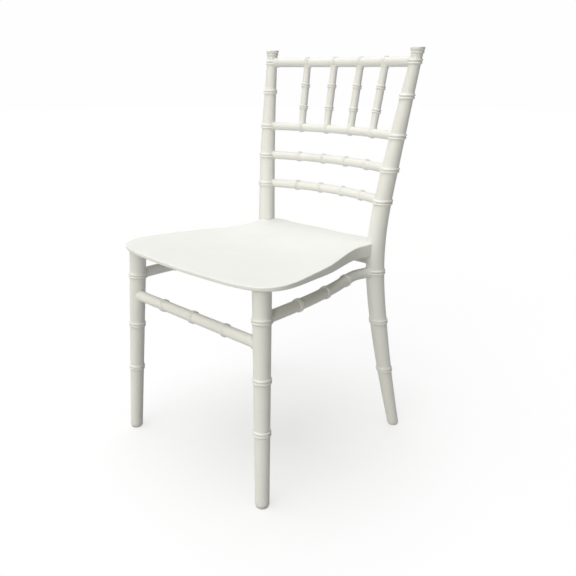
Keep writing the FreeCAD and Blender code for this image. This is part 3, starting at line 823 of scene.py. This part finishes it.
@dataclass
class Seat:
    """The thin saddle seat with its skirt, ribs and bosses, and the rail under its back."""

    front: float = -0.2776
    back: float = 0.1804
    half_width: float = 0.2490
    hip: tuple[float, float] = (0.2220, -0.0496)
    waist: tuple[float, float] = (0.1800, 0.0984)
    rim_height: float = 0.4740
    dish: float = 0.0130
    dish_power: float = 1.2
    lip_drop: float = 0.0010
    lip: float = 0.0080
    side_drop: float = 0.0065
    waist_drop: float = 0.034
    back_drop: float = 0.018
    thickness: float = 0.0060
    wall: float = 0.0045
    edge: float = 0.0022
    edge_steps: int = 8
    # Rings of the shell's flat faces, as shares of the way from its middle to its outline.
    scales: tuple[float, ...] = (0.015, 0.1, 0.2, 0.3, 0.4, 0.5, 0.6, 0.7, 0.78, 0.85, 0.90,
                                 0.935)
    # Insets that lead from the rounded edge into the top.
    top_insets: tuple[float, ...] = (0.0032, 0.005, 0.0075)
    around: int = 288
    overlap: int = 4
    centre: tuple[float, float] = (0.0, -0.050)
    rib_level: float = 0.450
    rib_height: float = 0.006
    rib_thickness: float = 0.003
    rib_overlap: float = 0.003
    rib_cuts: int = 24
    # Pitch, middle and length of the ribs that run from front to back, and of those across.
    long_rib: tuple[float, float, float] = (0.062, -0.0395, 0.345)
    cross_rib: tuple[float, float, float] = (0.0496, -0.042, 0.330)
    boss_place: tuple[float, float, float] = (0.105, 0.1624, 0.454)
    boss_radius: float = 0.008
    boss_depth: float = 0.024
    boss_sides: int = 32
    rail_box: tuple[tuple[float, float], ...] = ((-0.1775, 0.1775), (0.1514, 0.1734),
                                                 (0.4180, 0.4420))
    rail_round: float = 0.006
    rail_steps: int = 6

    def outline(self) -> list[Vector]:
        """Evenly spaced places round the seat's plan.

        Returns:
            The places, anticlockwise from the middle of the front, on a curve through a few
            fixed places that are given for one half and mirrored.
        """
        front, back, wide = self.front, self.back, self.half_width
        waist_x, waist_y = self.waist
        right = [
            (0.095, front + 0.0035), (wide - 0.059, front + 0.014), (wide - 0.023, front + 0.030),
            (wide - 0.004, front + 0.058), (wide, front + 0.090), (wide - 0.009, front + 0.148),
            self.hip, (waist_x + 0.015, waist_y - 0.069), (waist_x + 0.002, waist_y - 0.025),
            (waist_x - 0.001, waist_y + 0.015), (waist_x + 0.004, back - 0.032),
            (waist_x - 0.006, back - 0.012), (0.080, back - 0.003),
        ]
        ring = [(0.0, front), *right, (0.0, back), *[(-x, y) for x, y in reversed(right)]]
        places = [Vector((x, y, 0)) for x, y in ring]
        before, after = places[-self.overlap:], places[:self.overlap + 1]
        wrapped = Bend(before + places + after)
        start, stop = wrapped.marks[self.overlap], wrapped.marks[self.overlap + len(places)]
        return [wrapped.point(start + (stop - start) * i / self.around)
                for i in range(self.around)]

    def top(self, x: float, y: float) -> float:
        """Height of the top surface: level rim, dished middle, rolled front lip.

        Args:
            x: Place across the seat.
            y: Place from front to back.

        Returns:
            The height above the floor.
        """
        across = min(1.0, abs(x) / self.half_width)
        share = min(1.0, max(0.0, (y - self.front) / (self.back - self.front)))
        free = 1 - across ** 2
        dish = self.dish * free * math.sin(math.pi * share) ** self.dish_power
        return self.rim_height - dish - self.lip_drop * free * (1 - share) ** 5

    def skirt(self, x: float, y: float) -> float:
        """Height of the skirt's lower edge: thin in front, deep at the waist and posts.

        Args:
            x: Place across the seat.
            y: Place from front to back.

        Returns:
            The height above the floor.
        """
        share = min(1.1, max(0.0, (y - self.front) / (self.back - self.front)))
        waist = self.waist_drop * share ** 2 * max(0.0, 1 - share)
        drop = self.lip + self.side_drop * share + self.back_drop * share ** 3 + waist
        return self.top(x, y) - drop

    def section(self) -> list[tuple[float, float, str, float]]:
        """The seat's section, as inset, scale towards the middle, level and rise above it.

        Returns:
            One entry for each ring of the shell, from the underside's middle round the rim
            to the middle of the top.
        """
        under, wall, edge = -self.thickness, self.wall, self.edge
        rows = [(0.0, scale, "top", under) for scale in self.scales]
        rows += [(wall + 0.004, 1.0, "top", under), (wall + 0.0012, 1.0, "top", under - 0.0004),
                 (wall, 1.0, "top", under - 0.0016), (wall - 0.0002, 1.0, "skirt", 0.0010),
                 (wall - 0.0008, 1.0, "skirt", 0.0003), (wall - 0.0016, 1.0, "skirt", 0.0),
                 (0.0014, 1.0, "skirt", 0.0), (0.0006, 1.0, "skirt", 0.0003),
                 (0.0001, 1.0, "skirt", 0.0010), (0.0, 1.0, "skirt", 0.0020)]
        for i in range(self.edge_steps + 1):
            angle = math.pi / 2 * i / self.edge_steps
            rows.append((edge * (1 - math.cos(angle)), 1.0, "top",
                         -edge + edge * math.sin(angle)))
        rows += [(inset, 1.0, "top", 0.0) for inset in self.top_insets]
        rows += [(0.0, scale, "top", 0.0) for scale in reversed(self.scales)]
        return rows

    def build_shell(self) -> None:
        """Build the shell ring by ring, with its ribs and bosses."""
        outline = self.outline()
        middle = Vector((*self.centre, 0))
        inward = []
        for i, place in enumerate(outline):
            along = (outline[(i + 1) % self.around] - outline[i - 1]).normalized()
            inward.append(Vector((-along.y, along.x, 0)))
        shape = bmesh.new()
        made = bmesh.ops.create_circle(shape, cap_ends=False, radius=1,
                                       segments=self.around)["verts"]
        order = {vert: i for i, vert in enumerate(made)}
        loop = list(dict.fromkeys(edge for vert in made for edge in vert.link_edges))
        bmesh.ops.contextual_create(shape, geom=loop)
        for row, (inset, scale, level, rise) in enumerate(self.section()):
            if row:
                grown = bmesh.ops.extrude_edge_only(shape, edges=loop)["geom"]
                fresh = [item for item in grown if isinstance(item, bmesh.types.BMVert)]
                order = {vert: next(order[edge.other_vert(vert)] for edge in vert.link_edges
                                    if edge.other_vert(vert) in order) for vert in fresh}
                loop = [item for item in grown if isinstance(item, bmesh.types.BMEdge)
                        and all(vert in order for vert in item.verts)]
            for vert, i in order.items():
                spot = middle + (outline[i] + inward[i] * inset - middle) * scale
                rule = self.top if level == "top" else self.skirt
                vert.co = (spot.x, spot.y, rule(spot.x, spot.y) + rise)
        bmesh.ops.contextual_create(shape, geom=loop)
        self._ribs(shape)
        self._bosses(shape)
        finish_piece(shape, "seat", FINISHER.resin(IVORY_RESIN), RESIN_SLOT, "seat_shell")

    def _ribs(self, shape: bmesh.types.BMesh) -> None:
        """Add the thin ribs across and along the underside.

        Args:
            shape: The seat's shape, which gets them.
        """
        pitch, middle, length = self.long_rib
        plates = [((step * pitch, middle), (self.rib_thickness, length))
                  for step in (-2, -1, 0, 1, 2)]
        pitch, middle, length = self.cross_rib
        plates += [((0.0, middle + step * pitch), (length, self.rib_thickness))
                   for step in (-3, -1, 1, 3)]
        for (x, y), (width, depth) in plates:
            plate = bmesh.new()
            bmesh.ops.create_cube(plate, size=1, matrix=Matrix.Translation(
                (x, y, self.rib_level)) @ Matrix.Diagonal((width, depth, self.rib_height, 1)))
            long_edges = [edge for edge in plate.edges if edge.calc_length() > LONG_EDGE]
            bmesh.ops.subdivide_edges(plate, edges=long_edges, cuts=self.rib_cuts)
            for vert in plate.verts:
                if vert.co.z > self.rib_level:
                    vert.co.z = self.top(vert.co.x, vert.co.y) - self.rib_overlap
            mesh = bpy.data.meshes.new("rib")
            plate.to_mesh(mesh)
            plate.free()
            shape.from_mesh(mesh)
            bpy.data.meshes.remove(mesh)

    def _bosses(self, shape: bmesh.types.BMesh) -> None:
        """Add the two bosses that rest on the rail.

        Args:
            shape: The seat's shape, which gets them.
        """
        x, y, z = self.boss_place
        for side in Side:
            bmesh.ops.create_cone(shape, cap_ends=True, segments=self.boss_sides,
                                  radius1=self.boss_radius, radius2=self.boss_radius,
                                  depth=self.boss_depth,
                                  matrix=Matrix.Translation((side.value * x, y, z)))

    def build_rail(self) -> None:
        """Build the rounded bar that carries the back of the seat."""
        low = Vector(axis[0] for axis in self.rail_box)
        high = Vector(axis[1] for axis in self.rail_box)
        shape = bmesh.new()
        bmesh.ops.create_cube(shape, size=1, matrix=Matrix.Translation((low + high) / 2)
                              @ Matrix.Diagonal((*(high - low), 1)))
        long_edges = [edge for edge in shape.edges if edge.calc_length() > LONG_EDGE]
        bmesh.ops.bevel(shape, geom=long_edges, offset=self.rail_round, offset_type="OFFSET",
                        segments=self.rail_steps, profile=0.5, affect="EDGES", material=-1)
        finish_piece(shape, "seat_rail", FINISHER.resin(IVORY_RESIN), RESIN_SLOT,
                     "rear_seat_rail")

    def build(self) -> None:
        """Build the shell and its rail."""
        self.build_shell()
        self.build_rail()


@dataclass
class SmallParts:
    """The CAD's own glides and screws, dressed in their finishes."""

    def build(self) -> None:
        """Give every glide and screw its material."""
        for name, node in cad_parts.items():
            if name.startswith("foot_glide"):
                material = FINISHER.resin(GLIDE_RESIN)
            elif name.startswith("seat_screws"):
                material = FINISHER.metal(ZINC_STEEL)
            else:
                continue
            for socket in node.material_slots:
                socket.material = material
            log.info("%s: dressed in %s", name, material.name)


@dataclass(frozen=True)
class Lamp:
    """A distant lamp: strength, tint, the direction it shines from and its width in degrees."""

    name: str
    energy: float
    colour: tuple[float, float, float]
    place: tuple[float, float, float]
    width: float


@dataclass
class Studio:
    """Pale floor, soft lamps and the camera at the photograph's angle.

    The sky's two strengths are those facing away from and facing its brightest side.
    """

    eye: tuple[float, float, float] = (1.0210, -1.0146, 0.8550)
    turn: float = 43.62
    tilt: float = 19.09
    lens: float = 39.66
    sensor: float = 36.0
    floor_radius: float = 14.0
    floor_sides: int = 96
    backdrop: tuple[float, float, float] = (0.99, 0.99, 0.99)
    sky: tuple[float, float] = (0.02, 0.50)
    sky_from: tuple[float, float, float] = (-0.50, -0.80, 0.30)
    sky_colour: tuple[float, float, float] = (1.0, 0.985, 0.70)
    lamps: tuple[Lamp, ...] = (
        Lamp("overhead_lamp", 2.36, (0.88, 0.885, 1.0), (-0.14, -0.07, 1.0), 60.0),
        Lamp("front_lamp", 1.36, (1.0, 0.995, 0.97), (0.22, -0.90, 0.33), 60.0),
        Lamp("back_lamp", 0.45, (1.0, 1.0, 0.97), (-0.64, 0.72, 0.20), 60.0),
    )

    def floor(self) -> None:
        """Lay a round floor wide enough for every view."""
        shape = bmesh.new()
        bmesh.ops.create_circle(shape, cap_ends=True, radius=self.floor_radius,
                                segments=self.floor_sides)
        mesh = bpy.data.meshes.new("floor")
        shape.to_mesh(mesh)
        shape.free()
        mesh.materials.append(FINISHER.floor(PALE_FLOOR))
        floor = bpy.data.objects.new("floor", mesh)
        bpy.context.scene.collection.objects.link(floor)

    def world(self) -> None:
        """Light the room softly, most from the front left, and show it white behind."""
        world = bpy.data.worlds.new("studio_room")
        world.use_nodes = True
        nodes, links = world.node_tree.nodes, world.node_tree.links
        plain = nodes["Background"]
        plain.inputs["Color"].default_value = (*self.sky_colour, 1)
        place, facing = nodes.new("ShaderNodeTexCoord"), nodes.new("ShaderNodeVectorMath")
        facing.operation = "DOT_PRODUCT"
        facing.inputs[1].default_value = self.sky_from
        spread = nodes.new("ShaderNodeMapRange")
        spread.inputs["From Min"].default_value = -1.0
        spread.inputs["To Min"].default_value, spread.inputs["To Max"].default_value = self.sky
        links.new(place.outputs["Generated"], facing.inputs[0])
        links.new(facing.outputs["Value"], spread.inputs["Value"])
        links.new(spread.outputs["Result"], plain.inputs["Strength"])
        seen = nodes.new("ShaderNodeBackground")
        seen.inputs["Color"].default_value = (*self.backdrop, 1)
        path, blend = nodes.new("ShaderNodeLightPath"), nodes.new("ShaderNodeMixShader")
        links.new(path.outputs["Is Camera Ray"], blend.inputs["Fac"])
        links.new(plain.outputs["Background"], blend.inputs[1])
        links.new(seen.outputs["Background"], blend.inputs[2])
        links.new(blend.outputs["Shader"], nodes["World Output"].inputs["Surface"])
        bpy.context.scene.world = world

    def lights(self) -> None:
        """Hang each very wide, soft lamp."""
        for wanted in self.lamps:
            lamp = bpy.data.lights.new(wanted.name, "SUN")
            lamp.energy, lamp.angle = wanted.energy, math.radians(wanted.width)
            lamp.color = wanted.colour
            holder = bpy.data.objects.new(wanted.name, lamp)
            holder.rotation_euler = Vector(wanted.place).to_track_quat("Z", "Y").to_euler()
            bpy.context.scene.collection.objects.link(holder)

    def camera(self) -> None:
        """Stand the camera where the photograph was taken from."""
        lens = bpy.data.cameras.new("photo_camera")
        lens.lens, lens.sensor_width = self.lens, self.sensor
        camera = bpy.data.objects.new("photo_camera", lens)
        camera.location = self.eye
        turn, tilt = math.radians(self.turn), math.radians(self.tilt)
        camera.rotation_euler = (math.pi / 2 - tilt, 0, turn)
        bpy.context.scene.collection.objects.link(camera)
        bpy.context.scene.camera = camera

    def build(self) -> None:
        """Set the whole stage."""
        self.floor()
        self.world()
        self.lights()
        self.camera()
        bpy.context.scene.view_settings.view_transform = "Standard"


def main() -> None:
    """Build the chair from its sub-assemblies and set the stage."""
    logging.basicConfig(level=logging.INFO, format="%(name)s: %(message)s")
    back, legs = BackFrame(), FrontLegs()
    for assembly in (back, legs, SideStretchers(legs, back), Seat(), SmallParts(), Studio()):
        assembly.build()
        log.info("%s done", type(assembly).__name__)


if __name__ == "__main__":
    main()
